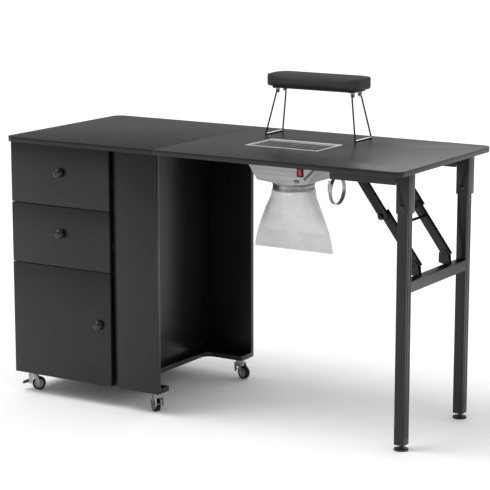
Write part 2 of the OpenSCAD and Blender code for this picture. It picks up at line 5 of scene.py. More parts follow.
import bmesh
import bpy
from mathutils import Matrix, Vector, noise


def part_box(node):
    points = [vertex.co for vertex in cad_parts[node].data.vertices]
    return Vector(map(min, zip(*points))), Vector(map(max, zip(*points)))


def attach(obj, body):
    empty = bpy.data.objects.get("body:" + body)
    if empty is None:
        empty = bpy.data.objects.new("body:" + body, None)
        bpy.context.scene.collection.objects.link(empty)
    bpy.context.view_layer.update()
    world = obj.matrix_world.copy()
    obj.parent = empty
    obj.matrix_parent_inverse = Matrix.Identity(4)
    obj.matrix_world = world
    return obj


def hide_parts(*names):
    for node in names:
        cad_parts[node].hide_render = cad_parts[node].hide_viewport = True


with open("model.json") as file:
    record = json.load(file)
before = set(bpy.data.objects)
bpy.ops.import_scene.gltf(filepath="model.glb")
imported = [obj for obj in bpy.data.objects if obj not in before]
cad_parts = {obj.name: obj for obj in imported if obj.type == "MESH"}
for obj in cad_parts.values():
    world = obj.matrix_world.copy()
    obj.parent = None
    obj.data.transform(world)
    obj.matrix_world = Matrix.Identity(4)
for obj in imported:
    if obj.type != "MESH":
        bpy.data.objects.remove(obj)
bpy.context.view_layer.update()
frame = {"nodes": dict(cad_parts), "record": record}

MM = 0.001
NODES = frame["nodes"]
RECORD = frame["record"]
BODY_OF = {n: body for body, members in RECORD["behaviour"]["bodies"].items() for n in members}
SLOT_OF = {s["node"]: s["material_slot"] for s in RECORD["subparts"]}
JOINTS = {j["name"]: j for j in RECORD["behaviour"]["joints"]}


# ---------------------------------------------------------------- camera, light, floor

CAM_PLACE = Vector((2.907, -4.681, 1.567))
CAM_YAW = 0.5553
CAM_PITCH = -0.1961
CAM_LENS = 140.9
FLOOR_SIZE = 40.0


def make_camera():
    cam = bpy.data.objects.new("camera", bpy.data.cameras.new("camera"))
    cam.data.lens = CAM_LENS
    cam.data.sensor_width = 36
    cam.data.clip_end = 60
    cam.location = CAM_PLACE
    cam.rotation_euler = (math.pi / 2 + CAM_PITCH, 0, CAM_YAW)
    bpy.context.scene.collection.objects.link(cam)
    bpy.context.scene.camera = cam


def area_light(name, place, target, size, power):
    light = bpy.data.lights.new(name, "AREA")
    light.shape = "RECTANGLE"
    light.size, light.size_y = size
    light.energy = power
    obj = bpy.data.objects.new(name, light)
    obj.location = place
    obj.rotation_euler = (Vector(target) - Vector(place)).to_track_quat("-Z", "Y").to_euler()
    bpy.context.scene.collection.objects.link(obj)
    return obj


def make_studio():
    """White surroundings, dimmer in reflections, a broad soft key from the left, a weak light behind."""
    world = bpy.data.worlds.new("studio")
    world.use_nodes = True
    tree = world.node_tree
    dim = tree.nodes["Background"]
    dim.inputs["Color"].default_value = (1, 1, 1, 1)
    dim.inputs["Strength"].default_value = 0.31
    white = tree.nodes.new("ShaderNodeBackground")
    white.inputs["Strength"].default_value = 1.16
    path = tree.nodes.new("ShaderNodeLightPath")
    mix = tree.nodes.new("ShaderNodeMixShader")
    tree.links.new(path.outputs["Is Glossy Ray"], mix.inputs["Fac"])
    tree.links.new(white.outputs["Background"], mix.inputs[1])
    tree.links.new(dim.outputs["Background"], mix.inputs[2])
    tree.links.new(mix.outputs["Shader"], tree.nodes["World Output"].inputs["Surface"])
    bpy.context.scene.world = world
    bpy.context.scene.view_settings.view_transform = "Standard"
    sun = bpy.data.objects.new("key", bpy.data.lights.new("key", "SUN"))
    sun.data.energy = 1.7
    sun.data.angle = math.radians(38)
    sun.rotation_euler = Vector((0.85, 0.45, -1.75)).to_track_quat("-Z", "Y").to_euler()
    bpy.context.scene.collection.objects.link(sun)
    area_light("back", (0.2, 3.2, 2.4), (0, 0, 0.8), (3.0, 1.2), 15)
    bm = bmesh.new()
    bmesh.ops.create_grid(bm, x_segments=8, y_segments=8, size=FLOOR_SIZE)
    mesh = bpy.data.meshes.new("floor")
    bm.to_mesh(mesh)
    bm.free()
    floor = bpy.data.objects.new("floor", mesh)
    bpy.context.scene.collection.objects.link(floor)
    floor.data.materials.append(MATERIALS["floor"])


# ---------------------------------------------------------------- materials

def node_material(name):
    mat = bpy.data.materials.new(name)
    mat.use_nodes = True
    tree = mat.node_tree
    return mat, tree, tree.nodes["Principled BSDF"]


def add(tree, kind, **values):
    node = tree.nodes.new(kind)
    for key, value in values.items():
        if key in node.inputs:
            node.inputs[key].default_value = value
        else:
            setattr(node, key, value)
    return node


def object_coords(tree, scale=(1, 1, 1)):
    coords = add(tree, "ShaderNodeTexCoord")
    mapping = add(tree, "ShaderNodeMapping")
    mapping.inputs["Scale"].default_value = scale
    tree.links.new(coords.outputs["Object"], mapping.inputs["Vector"])
    return mapping.outputs["Vector"]


def noise_socket(tree, vector, scale, detail=3.0, rough=0.5):
    tex = add(tree, "ShaderNodeTexNoise", Scale=scale, Detail=detail, Roughness=rough)
    tree.links.new(vector, tex.inputs["Vector"])
    return tex.outputs["Fac"]


def ramp(tree, fac, low, high, start=0.35, end=0.65):
    node = add(tree, "ShaderNodeValToRGB")
    node.color_ramp.elements[0].position = start
    node.color_ramp.elements[1].position = end
    node.color_ramp.elements[0].color = (*low, 1)
    node.color_ramp.elements[1].color = (*high, 1)
    tree.links.new(fac, node.inputs["Fac"])
    return node.outputs["Color"]


def span(tree, fac, low, high):
    node = add(tree, "ShaderNodeMapRange")
    node.inputs["To Min"].default_value = low
    node.inputs["To Max"].default_value = high
    tree.links.new(fac, node.inputs["Value"])
    return node.outputs["Result"]


def bump(tree, shader, height, distance, strength=1.0):
    node = add(tree, "ShaderNodeBump", Strength=strength, Distance=distance)
    tree.links.new(height, node.inputs["Height"])
    tree.links.new(node.outputs["Normal"], shader.inputs["Normal"])


def grained(name, low, high, rough, scale, grain=0.0001, stretch=(1, 1, 1), metallic=0.0, patch=9, **sockets):
    """Fine grain over slow patches of colour and gloss."""
    mat, tree, shader = node_material(name)
    vector = object_coords(tree, stretch)
    plain = object_coords(tree)
    tree.links.new(ramp(tree, noise_socket(tree, plain, patch, 4), low, high), shader.inputs["Base Color"])
    tree.links.new(span(tree, noise_socket(tree, vector, patch * 3, 5), *rough), shader.inputs["Roughness"])
    bump(tree, shader, noise_socket(tree, vector, scale, 4, 0.6), grain)
    shader.inputs["Metallic"].default_value = metallic
    for key, value in sockets.items():
        shader.inputs[key.replace("_", " ")].default_value = value
    return mat


def leather():
    mat, tree, shader = node_material("pu_leather")
    vector = object_coords(tree)
    cells = add(tree, "ShaderNodeTexVoronoi", Scale=520.0)
    cells.feature = "DISTANCE_TO_EDGE"
    tree.links.new(vector, cells.inputs["Vector"])
    edge = span(tree, cells.outputs["Distance"], 0.0, 3.0)
    bump(tree, shader, edge, 0.00018, 0.8)
    patches = noise_socket(tree, vector, 14, 4)
    colour = ramp(tree, patches, (0.036, 0.036, 0.037), (0.048, 0.048, 0.049))
    tree.links.new(colour, shader.inputs["Base Color"])
    tree.links.new(span(tree, noise_socket(tree, vector, 60, 5), 0.62, 0.78), shader.inputs["Roughness"])
    shader.inputs["Specular IOR Level"].default_value = 0.22
    return mat


def chrome():
    """Polished wire with painted reflections: base colour bright on upward-facing sides and dark on the
    flanks.
    """
    mat, tree, shader = node_material("chrome")
    painted_reflection_normal = add(tree, "ShaderNodeNewGeometry")
    parts = add(tree, "ShaderNodeSeparateXYZ")
    tree.links.new(painted_reflection_normal.outputs["Normal"], parts.inputs["Vector"])
    # Base colour follows the surface normal's height: painted reflection.
    tree.links.new(ramp(tree, parts.outputs["Z"], (0.05, 0.05, 0.052), (0.92, 0.92, 0.93), 0.28, 0.62),
                   shader.inputs["Base Color"])
    vector = object_coords(tree)
    tree.links.new(span(tree, noise_socket(tree, vector, 300, 4), 0.10, 0.18), shader.inputs["Roughness"])
    shader.inputs["Metallic"].default_value = 0.85
    return mat


def non_woven():
    """Thin spun-bond cloth: random fibres, a point-bond pattern and some light through it."""
    mat, tree, shader = node_material("non_woven")
    vector = object_coords(tree)
    fibres = noise_socket(tree, object_coords(tree, (1, 1, 0.35)), 900, 6, 0.7)
    dots = add(tree, "ShaderNodeTexVoronoi", Scale=420.0)
    tree.links.new(vector, dots.inputs["Vector"])
    mix = add(tree, "ShaderNodeMath", operation="ADD")
    tree.links.new(fibres, mix.inputs[0])
    tree.links.new(dots.outputs["Distance"], mix.inputs[1])
    bump(tree, shader, mix.outputs[0], 0.00016, 0.7)
    tree.links.new(ramp(tree, noise_socket(tree, vector, 26, 5), (0.68, 0.68, 0.68), (0.76, 0.76, 0.76)),
                   shader.inputs["Base Color"])
    shader.inputs["Roughness"].default_value = 0.92
    shader.inputs["Sheen Weight"].default_value = 0.25
    shader.inputs["Subsurface Weight"].default_value = 0.15
    shader.inputs["Subsurface Radius"].default_value = (0.01, 0.01, 0.01)
    return mat


def make_materials():
    """One material per slot, and the tones that parts of a piece take."""
    return {
        "floor": grained("floor", (0.85, 0.85, 0.85), (0.87, 0.87, 0.87),
                         (0.75, 0.85), 40, 0.00005),
        "board": grained("melamine", (0.0035, 0.0035, 0.0037), (0.0055, 0.0055, 0.0058),
                         (0.26, 0.34), 1500, 0.00006, Specular_IOR_Level=0.42),
        "box_board": grained("drawer_foil", (0.05, 0.05, 0.052), (0.065, 0.065, 0.067),
                             (0.5, 0.6), 900, 0.00008),
        "back_board": grained("hardboard", (0.03, 0.03, 0.03), (0.045, 0.043, 0.04),
                              (0.7, 0.85), 700, 0.0002),
        "zinc": grained("zinc", (0.38, 0.385, 0.40), (0.56, 0.57, 0.58),
                        (0.22, 0.42), 260, 0.00005, (1, 1, 6), 1.0, 40),
        "knob_black": grained("knob_lacquer", (0.012, 0.012, 0.012), (0.018, 0.018, 0.018),
                              (0.22, 0.32), 500, 0.00002),
        "tyre_black": grained("tyre", (0.006, 0.006, 0.006), (0.012, 0.012, 0.012),
                              (0.6, 0.75), 800, 0.0001, Specular_IOR_Level=0.15),
        "hub_grey": grained("hub", (0.20, 0.20, 0.205), (0.26, 0.26, 0.265),
                            (0.4, 0.5), 700, 0.00005),
        "plastic_black": grained("black_plastic", (0.014, 0.014, 0.014), (0.02, 0.02, 0.02),
                                 (0.4, 0.55), 1100, 0.00006),
        "steel_black": grained("powder_coat", (0.004, 0.004, 0.004), (0.008, 0.008, 0.008),
                               (0.28, 0.40), 1300, 0.00008, Specular_IOR_Level=0.42),
        "housing_grey": grained("abs_grey", (0.46, 0.46, 0.46), (0.50, 0.50, 0.50),
                                (0.5, 0.6), 1400, 0.00008),
        # Darker grey for the housing's right end face: painted shade on the same moulding.
        "housing_painted_shade": grained("abs_painted_shade", (0.24, 0.24, 0.24), (0.27, 0.27, 0.27),
                                 (0.5, 0.6), 1400, 0.00008),
        # Near-black for the inside of the grey housing: painted shade.
        "duct_painted_shade": grained("duct_painted_shade", (0.012, 0.012, 0.012), (0.018, 0.018, 0.018),
                             (0.7, 0.8), 900, 0.00008),
        # Darker matt coat that stands in for shade: painted shade on the brace webs and the leg folds.
        "steel_painted_shade": grained("powder_coat_painted_shade", (0.003, 0.003, 0.003), (0.006, 0.006, 0.006),
                              (0.75, 0.85), 1300, 0.0001, Specular_IOR_Level=0.08),
        "band_steel": grained("band_steel", (0.22, 0.22, 0.23), (0.42, 0.42, 0.43),
                              (0.25, 0.4), 260, 0.00005, (1, 1, 6), 0.8, 40),
        # Dark grey for slots and recesses: painted shade.
        "groove_painted_shade": grained("abs_shadow", (0.10, 0.10, 0.10), (0.13, 0.13, 0.13),
                               (0.6, 0.7), 1400, 0.00008),
        "motor_steel": grained("motor_steel", (0.10, 0.10, 0.11), (0.16, 0.16, 0.17),
                               (0.3, 0.45), 300, 0.00005, (1, 1, 8), 1.0),
        "grille_metal": grained("satin_alu", (0.60, 0.60, 0.61), (0.72, 0.72, 0.73),
                                (0.3, 0.45), 500, 0.00003, (0.1, 1, 1), 0.25, 30),
        # Slats darkened to stand for the shade behind the grille: painted shade.
        "slat_painted_shade": grained("slat_alu_painted_shade", (0.20, 0.20, 0.21), (0.28, 0.28, 0.29),
                              (0.3, 0.45), 500, 0.00003, (0.1, 1, 1), 0.6, 30),
        "switch_red": grained("red_gloss", (0.55, 0.008, 0.008), (0.62, 0.012, 0.012),
                              (0.12, 0.2), 500, 0.00002),
        "chrome_wire": chrome(),
        "cushion_leather": leather(),
        "bag_fabric": non_woven(),
    }


# ---------------------------------------------------------------- mesh helpers

def shade_smooth(obj, angle=38):
    """Smooth faces, with sharp edges where faces meet at more than angle degrees."""
    bm = bmesh.new()
    bm.from_mesh(obj.data)
    for face in bm.faces:
        face.smooth = True
    for edge in bm.edges:
        edge.smooth = len(edge.link_faces) == 2 and edge.calc_face_angle(0) < math.radians(angle)
    bm.to_mesh(obj.data)
    bm.free()


def new_piece(name, bm, body, material, smooth=38):
    bmesh.ops.recalc_face_normals(bm, faces=bm.faces)
    mesh = bpy.data.meshes.new(name)
    bm.to_mesh(mesh)
    bm.free()
    obj = bpy.data.objects.new(name, mesh)
    bpy.context.scene.collection.objects.link(obj)
    obj.data.materials.append(MATERIALS[material])
    shade_smooth(obj, smooth)
    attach(obj, body)
    return obj


def round_edges(bm, edges, width, segments):
    bmesh.ops.bevel(bm, geom=edges, offset=width, segments=segments, profile=0.6, affect="EDGES",
                    clamp_overlap=True)


def softened(node, width, material=None, segments=2, corner=30, shortest=0.0):
    """A CAD node's shape with its hard edges rounded, standing for that node."""
    bm = bmesh.new()
    bm.from_mesh(NODES[node].data)
    bmesh.ops.remove_doubles(bm, verts=bm.verts, dist=0.00002)
    bmesh.ops.dissolve_limit(bm, angle_limit=math.radians(0.6), verts=bm.verts, edges=bm.edges)
    edges = [e for e in bm.edges if len(e.link_faces) == 2 and e.calc_face_angle(0) > math.radians(corner)
             and e.calc_length() > shortest]
    round_edges(bm, edges, width, segments)
    piece = new_piece(node + "_shape", bm, BODY_OF[node], material or SLOT_OF[node], 50)
    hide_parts(node)
    return piece


def lathe(bm, profile, matrix, steps=64, closed=False):
    """Turns (radius, height) points about the local Z axis."""
    rings = [[bm.verts.new(matrix @ Vector((r * math.cos(a), r * math.sin(a), h)))
              for a in (2 * math.pi * i / steps for i in range(steps))] for r, h in profile]
    pairs = list(zip(rings, rings[1:])) + ([(rings[-1], rings[0])] if closed else [])
    for low, high in pairs:
        for i in range(steps):
            j = (i + 1) % steps
            bm.faces.new((low[i], low[j], high[j], high[i]))
    if not closed:
        bm.faces.new(rings[0])
        bm.faces.new(rings[-1])


def box(bm, lo, hi, bevel=0.0, matrix=Matrix.Identity(4)):
    lo, hi = Vector(lo), Vector(hi)
    place = matrix @ Matrix.Translation((lo + hi) / 2) @ Matrix.Diagonal((*(hi - lo), 1))
    made = bmesh.ops.create_cube(bm, size=1, matrix=place)
    if bevel:
        edges = list({e for v in made["verts"] for e in v.link_edges})
        round_edges(bm, edges, bevel, 2)


def rounded_path(points, radius, steps=8):
    """Polyline with its inner corners turned into arcs."""
    points = [Vector(p) for p in points]
    path = [points[0]]
    for before, corner, after in zip(points, points[1:], points[2:]):
        u, v = (before - corner).normalized(), (after - corner).normalized()
        reach = min(radius, (before - corner).length * 0.45, (after - corner).length * 0.45)
        a, b = corner + u * reach, corner + v * reach
        path += [(a * (1 - t) ** 2 + corner * 2 * t * (1 - t) + b * t ** 2)
                 for t in (i / steps for i in range(steps + 1))]
    path.append(points[-1])
    return path


def tube(bm, path, radius, sides=14):
    rings = []
    side = Vector((0, 1, 0))
    for i, p in enumerate(path):
        d = (path[min(i + 1, len(path) - 1)] - path[max(i - 1, 0)]).normalized()
        side = (side - d * side.dot(d))
        side = side.normalized() if side.length > 0.05 else d.orthogonal().normalized()
        up = d.cross(side)
        rings.append([bm.verts.new(p + radius * (side * math.cos(a) + up * math.sin(a)))
                      for a in (2 * math.pi * k / sides for k in range(sides))])
    for low, high in zip(rings, rings[1:]):
        for i in range(sides):
            j = (i + 1) % sides
            bm.faces.new((low[i], low[j], high[j], high[i]))
    bm.faces.new(rings[0])
    bm.faces.new(rings[-1])


# ---------------------------------------------------------------- pieces kept close to the CAD shape

BOARD_EDGE = 1.2 * MM
PLAIN_EDGES = {
    **{n: BOARD_EDGE for n in (
        "cabinet_top", "leaf_board", "left_side", "partition", "rear_panel", "fascia", "bottom_board",
        "shelf", "hinge_rail", "upper_drawer_front", "lower_drawer_front", "door_panel")},
    **{n: 0.8 * MM for n in ("upper_drawer_box", "lower_drawer_box", "back_panel", "rest_base")},
    **{n: 0.4 * MM for n in (
        "drawer_runners", "seam_hinge_fixed", "seam_hinge_moving", "door_hinge_arms", "caster_plates",
        "upper_drawer_slides", "lower_drawer_slides", "door_hinge_cups", "brake_pedal_fl", "brake_pedal_rl",
        "power_inlet", "rest_clips", "fan_motor", "brace_anchors", "impeller")},
    **{n: 0.7 * MM for n in ("foot_front", "foot_rear")},
    "leg_brackets": 1.6 * MM,
    "side_rails": 1.4 * MM,
    "grille_frame": 0.5 * MM,
    "upper_drawer_knob": 0.5 * MM,
    "lower_drawer_knob": 0.5 * MM,
    "door_knob": 0.5 * MM,
}


def make_plain_pieces():
    for node, width in PLAIN_EDGES.items():
        softened(node, width)


def make_toned_pieces():
    """Slats darkened as painted shade, forks in duller metal, a wider switch surround and a narrower red
    rocker.
    """
    softened("grille_slats", 0.4 * MM, "slat_painted_shade")
    for corner in ("fl", "fr", "rl", "rr"):
        softened("caster_fork_" + corner, 0.6 * MM, "band_steel")
    for node, wide, high in (("switch_bezel", 1.18, 1.06), ("switch_rocker", 0.82, 1.0)):
        piece = softened(node, 0.5 * MM)
        lo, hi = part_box(node)
        middle = (lo + hi) / 2
        for v in piece.data.vertices:
            v.co.x = middle.x + (v.co.x - middle.x) * wide
            v.co.z = middle.z + (v.co.z - middle.z) * high


LEG_YS = (-191 * MM, 176 * MM)
LEG_X = 622 * MM
LEG_FACE_X = LEG_X + 15 * MM
RIVET_RISE = 19 * MM


def make_leg_details():
    """Leg frame with rounded tubes, dark strips painted as the shade in the folds of its channels, and the
    rivet heads on its brackets.
    """
    softened("leg_frame", 2.6 * MM, shortest=60 * MM)
    lo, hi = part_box("leg_brackets")
    bm = bmesh.new()
    for y in LEG_YS:
        face_y = lo.y + 3 * MM + y - LEG_YS[0]
        place = Matrix.Translation((LEG_X, face_y, lo.z + RIVET_RISE)) @ Matrix.Rotation(math.pi / 2, 4, "X")
        lathe(bm, [(0.05 * MM, 6.2 * MM), (3.6 * MM, 5.4 * MM), (6.4 * MM, 3.4 * MM), (7.6 * MM, 1.2 * MM),
                   (7.8 * MM, -0.5 * MM), (0.05 * MM, -0.5 * MM)], place, 32)
    new_piece("bracket_rivets", bm, "leaf", "knob_black", 50)
    # Thin matt dark strips on the leg faces stand for the shade in the channel folds: painted shade.
    bm = bmesh.new()
    for y in LEG_YS:
        for off in (-6 * MM, 8.5 * MM):
            box(bm, (LEG_FACE_X - 0.2 * MM, y + off - 0.9 * MM, 35 * MM),
                (LEG_FACE_X + 0.25 * MM, y + off + 0.9 * MM, lo.z - 1 * MM))
    new_piece("leg_folds", bm, "legs", "steel_painted_shade")


def make_braces():
    """Folding braces: the outer web takes a darker matt coat, painted as the shade inside the channel,
    between glossier flanges.
    """
    outward = Vector((0.805, 0, 0.593))
    for node in ("upper_braces", "lower_braces"):
        brace = softened(node, 0.7 * MM)
        brace.data.materials.append(MATERIALS["steel_painted_shade"])
        # The outward web faces take the painted shade of the channel's inside.
        for face in brace.data.polygons:
            if face.normal.dot(outward) > 0.5:
                face.material_index = 1


# ---------------------------------------------------------------- wrist rest

CUSHION_PUFF = 1.6 * MM
CUSHION_VOXEL = 3.5 * MM
CLOTH_FRAMES = 14


def apply_modifiers(obj):
    depsgraph = bpy.context.evaluated_depsgraph_get()
    mesh = bpy.data.meshes.new_from_object(obj.evaluated_get(depsgraph))
    obj.modifiers.clear()
    obj.data = mesh


def loose_object(name, bm):
    mesh = bpy.data.meshes.new(name)
    bm.to_mesh(mesh)
    bm.free()
    obj = bpy.data.objects.new(name, mesh)
    bpy.context.scene.collection.objects.link(obj)
    return obj


def inflate(obj, pressure, cap):
    """Cloth under pressure for CLOTH_FRAMES steps; no point moves further than cap."""
    before = [v.co.copy() for v in obj.data.vertices]
    cloth = obj.modifiers.new("cloth", "CLOTH")
    cloth.settings.use_pressure = True
    cloth.settings.uniform_pressure_force = pressure
    cloth.settings.effector_weights.gravity = 0
    scene = bpy.context.scene
    for step in range(1, CLOTH_FRAMES + 1):
        scene.frame_set(step)
    apply_modifiers(obj)
    scene.frame_set(1)
    for v, start in zip(obj.data.vertices, before):
        move = v.co - start
        if move.length > cap:
            v.co = start + move.normalized() * cap


def make_cushion():
    """Foam pad in leather: crowned top, sides that pull in to a flat underside."""
    lo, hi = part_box("rest_cushion")
    bm = bmesh.new()
    bm.from_mesh(NODES["rest_cushion"].data)
    centre = (lo + hi) / 2
    half = (hi - lo) / 2
    inset = Vector((half.x - CUSHION_PUFF, half.y - CUSHION_PUFF, half.z - 0.6 * CUSHION_PUFF))
    for v in bm.verts:
        p = v.co - centre
        v.co = centre + Vector((p.x / half.x * inset.x, p.y / half.y * inset.y, p.z / half.z * inset.z))
    bmesh.ops.remove_doubles(bm, verts=bm.verts, dist=0.00002)
    bmesh.ops.dissolve_limit(bm, angle_limit=math.radians(0.6), verts=bm.verts, edges=bm.edges)
    rims = [e for e in bm.edges if len(e.link_faces) == 2 and e.calc_face_angle(0) > math.radians(60)]
    round_edges(bm, rims, 5 * MM, 3)
    pad = loose_object("cushion", bm)
    remesh = pad.modifiers.new("remesh", "REMESH")
    remesh.mode = "VOXEL"
    remesh.voxel_size = CUSHION_VOXEL
    remesh.use_smooth_shade = True
    apply_modifiers(pad)
    inflate(pad, 2.0, CUSHION_PUFF)
    bottom = lo.z + 0.3 * MM
    for v in pad.data.vertices:
        p = v.co - centre
        u, w = p.x / half.x, p.y / half.y
        if p.z > 0:
            v.co.z += 2.2 * MM * max(0.0, 1 - u * u) ** 0.5 * max(0.0, 1 - w * w)
        v.co += v.co.normalized() * 0.35 * MM * noise.noise(v.co * 45)
        v.co.z = min(max(v.co.z, bottom), hi.z + 1.0 * MM)
        low = 1 - min(1.0, max(0.0, (v.co.z - lo.z) / (9 * MM)))
        v.co.x -= p.x / half.x * 2.0 * MM * low * low
        v.co.y -= p.y / half.y * 2.0 * MM * low * low
    smooth = pad.modifiers.new("smooth", "SUBSURF")
    smooth.levels = smooth.render_levels = 1
    apply_modifiers(pad)
    for face in pad.data.polygons:
        face.use_smooth = True
    pad.data.materials.clear()
    pad.data.materials.append(MATERIALS["cushion_leather"])
    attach(pad, "wrist_rest")
    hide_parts("rest_cushion")


# ---------------------------------------------------------------- dust fan

GRILLE_LO, GRILLE_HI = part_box("grille_frame")
FAN = (GRILLE_LO + GRILLE_HI) / 2
HOUSE_LO, HOUSE_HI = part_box("fan_housing")
CLAMP_LO, CLAMP_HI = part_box("bag_clamp")
BAG_LO, BAG_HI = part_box("dust_bag")
COLLAR_R = 58.5 * MM
BAND_SLOTS = 84
SPARE_SLOTS = 62


def make_housing():
    """Grey moulded housing; its inside painted dark and its right end face painted darker grey, both as
    painted shade.
    """
    housing = softened("fan_housing", 1.6 * MM, corner=25)
    housing.data.materials.append(MATERIALS["duct_painted_shade"])
    housing.data.materials.append(MATERIALS["housing_painted_shade"])
    middle = Vector((FAN.x, FAN.y, (HOUSE_LO.z + HOUSE_HI.z) / 2 + 10 * MM))
    for face in housing.data.polygons:
        # Faces turned inward take the near-black painted shade of the duct's inside.
        if face.normal.dot(middle - face.center) > 0:
            face.material_index = 1
        # The right end face takes the darker grey: painted shade.
        elif face.normal.x > 0.5:
            face.material_index = 2
    front = HOUSE_LO.y
    floor_z = HOUSE_HI.z - 77 * MM

    def slanted(bm, low, high, width, proud):
        a, b = Vector((low[0], 0, low[1])), Vector((high[0], 0, high[1]))
        middle, reach = (a + b) / 2, (b - a)
        turn = Matrix.Rotation(math.atan2(-reach.z, reach.x), 4, "Y")
        place = Matrix.Translation((FAN.x + middle.x, front, floor_z + middle.z)) @ turn
        half = reach.length / 2
        box(bm, (-half, -proud, -width / 2), (half, 0.4 * MM, width / 2), 0.25 * MM, place)

    # Thin dark plates on the housing front stand for recesses: painted shade.
    bm = bmesh.new()
    slanted(bm, (83 * MM, 10 * MM), (115 * MM, 41 * MM), 7 * MM, 0.5 * MM)
    box(bm, (FAN.x + 51 * MM, front - 0.5 * MM, floor_z - 1.5 * MM),
        (FAN.x + 68 * MM, front + 0.4 * MM, floor_z + 8.5 * MM), 0.25 * MM)
    new_piece("housing_recesses", bm, "leaf", "groove_painted_shade")
    bm = bmesh.new()
    slanted(bm, (90 * MM, 7 * MM), (124 * MM, 40 * MM), 2.2 * MM, 1.6 * MM)
    for k in range(4):
        z = (16 + 13 * k) * MM
        box(bm, (FAN.x - (66 + 9 * k) * MM, front - 0.7 * MM, floor_z + z),
            (FAN.x + (58 - 2 * k) * MM, front + 0.3 * MM, floor_z + z + 1.1 * MM), 0.3 * MM)
    box(bm, (FAN.x - 68 * MM, front - 1.0 * MM, floor_z - 0.2 * MM),
        (FAN.x + 90 * MM, front + 0.4 * MM, floor_z + 2.0 * MM), 0.5 * MM)
    new_piece("housing_ribs", bm, "leaf", "housing_grey")


def make_clamp_band():
    """Slotted steel band with its worm screw, round the neck of the bag."""
    z0, z1 = CLAMP_LO.z, CLAMP_HI.z
    inner, outer = COLLAR_R + 0.8 * MM, COLLAR_R + 3 * MM
    bm = bmesh.new()
    lathe(bm, [(inner, z0), (outer - 0.8 * MM, z0), (outer, z0 + 0.7 * MM), (outer, z0 + 1.8 * MM),
               (outer - 0.9 * MM, z0 + 2.6 * MM), (outer - 0.9 * MM, z1 - 2.6 * MM), (outer, z1 - 1.8 * MM),
               (outer, z1 - 0.7 * MM), (outer - 0.8 * MM, z1), (inner, z1)],
          Matrix.Translation((FAN.x, FAN.y, 0)), 96, closed=True)
    band = new_piece("clamp_band", bm, "leaf", "band_steel", 40)
    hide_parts("bag_clamp")
    # Dark marks on the band stand for its slots: painted shade.
    bm = bmesh.new()
    for i in range(BAND_SLOTS):
        turn = Matrix.Translation((FAN.x, FAN.y, z0 + 5.4 * MM))
        turn = turn @ Matrix.Rotation(2 * math.pi * i / BAND_SLOTS, 4, "Z")
        turn = turn @ Matrix.Translation((outer - 0.75 * MM, 0, 0)) @ Matrix.Rotation(0.3, 4, "X")
        box(bm, (-0.25 * MM, -0.75 * MM, -2.1 * MM), (0.25 * MM, 0.75 * MM, 2.1 * MM), 0, turn)
    new_piece("clamp_slots", bm, "leaf", "groove_painted_shade")
    bm = bmesh.new()
    frame_turn = Matrix.Translation((FAN.x, FAN.y, 0)) @ Matrix.Rotation(math.radians(80), 4, "Z")
    box(bm, (COLLAR_R + 2 * MM, -9 * MM, z0 + 3 * MM), (COLLAR_R + 8.5 * MM, 7 * MM, z0 + 13 * MM), 1.2 * MM,
        frame_turn)
    along = frame_turn @ Matrix.Translation((COLLAR_R + 5 * MM, -9 * MM, z0 + 8 * MM))
    along = along @ Matrix.Rotation(math.pi / 2, 4, "X")
    lathe(bm, [(1.2 * MM, -17 * MM), (3.8 * MM, -17 * MM), (3.8 * MM, 2 * MM), (3.2 * MM, 2.6 * MM),
               (1.2 * MM, 2.6 * MM)], along, 24)
    new_piece("clamp_screw", bm, "leaf", "zinc")


def ellipse_round(a, b):
    """Length of an ellipse's outline."""
    return math.pi * (3 * (a + b) - math.sqrt((3 * a + b) * (a + 3 * b)))


def depth_for(a, length):
    """Half depth of the ellipse of half width a whose outline has this length."""
    low, high = 0.0008, 0.12
    for _ in range(30):
        mid = (low + high) / 2
        low, high = (mid, high) if ellipse_round(a, mid) < length else (low, mid)
    return (low + high) / 2


BAG_ROWS = 64
BAG_COLS = 72
BAG_FLANGE = 5 * MM
BAG_CLOTH = 0.5 * MM
BAG_GIRTH = 506 * MM
NECK_GIRTH = 400 * MM
NECK_END = 0.07
SEAM_START = 0.955


def bag_ring(t, top, bottom):
    """One level of the bag: t is 0 at the neck and 1 at the bottom seam."""
    z = top + (bottom - top) * t
    neck_r, wide = 59.6 * MM, (BAG_HI.x - BAG_LO.x) / 2
    below = max(0.0, (t - NECK_END) / (1 - NECK_END))
    swell = min(1.0, max(0.0, (t - NECK_END) / 0.04))
    base = neck_r + 4 * MM * swell * swell * (3 - 2 * swell)
    a = base + (wide - base) * (1 - (1 - below) ** 1.5)
    shut = max(0.0, (t - SEAM_START) / (1 - SEAM_START))
    b = depth_for(a, NECK_GIRTH + (BAG_GIRTH - NECK_GIRTH) * below) * (1 - shut) + 0.0006 * shut
    if t <= NECK_END:
        b = a
    flange = BAG_FLANGE * min(1.0, below / 0.12)
    points = []
    for k in range(2 * BAG_COLS):
        side = -1 if k < BAG_COLS else 1
        phi = math.pi * (k % BAG_COLS) / BAG_COLS
        x = -a * math.cos(phi) if side < 0 else a * math.cos(phi)
        body = max(a - flange, 0.001)
        fullness = max(0.0, 1 - (x / body) ** 2) ** (0.5 + 0.22 * min(1.0, below * 3))
        y = side * max(b * fullness, 0.0005 if below > 0 else 0)
        theta = math.atan2(y, x)
        crease = max(0.0, 1 - abs(t - 0.17) / 0.16) if t > 0.03 else 0
        pull = 1 + crease * (0.016 * math.cos(19 * theta) + 0.010 * math.sin(11 * theta + 1.3))
        soft = noise.noise(Vector((x * 16, side * 3.1, z * 22)))
        soft += 0.5 * noise.noise(Vector((x * 44, side * 7.7, z * 36)))
        y += side * 0.0035 * soft * fullness * min(1.0, below * 4) * (1 - shut)
        points.append(Vector((FAN.x + x * pull, FAN.y + y * pull, z)))
    return points


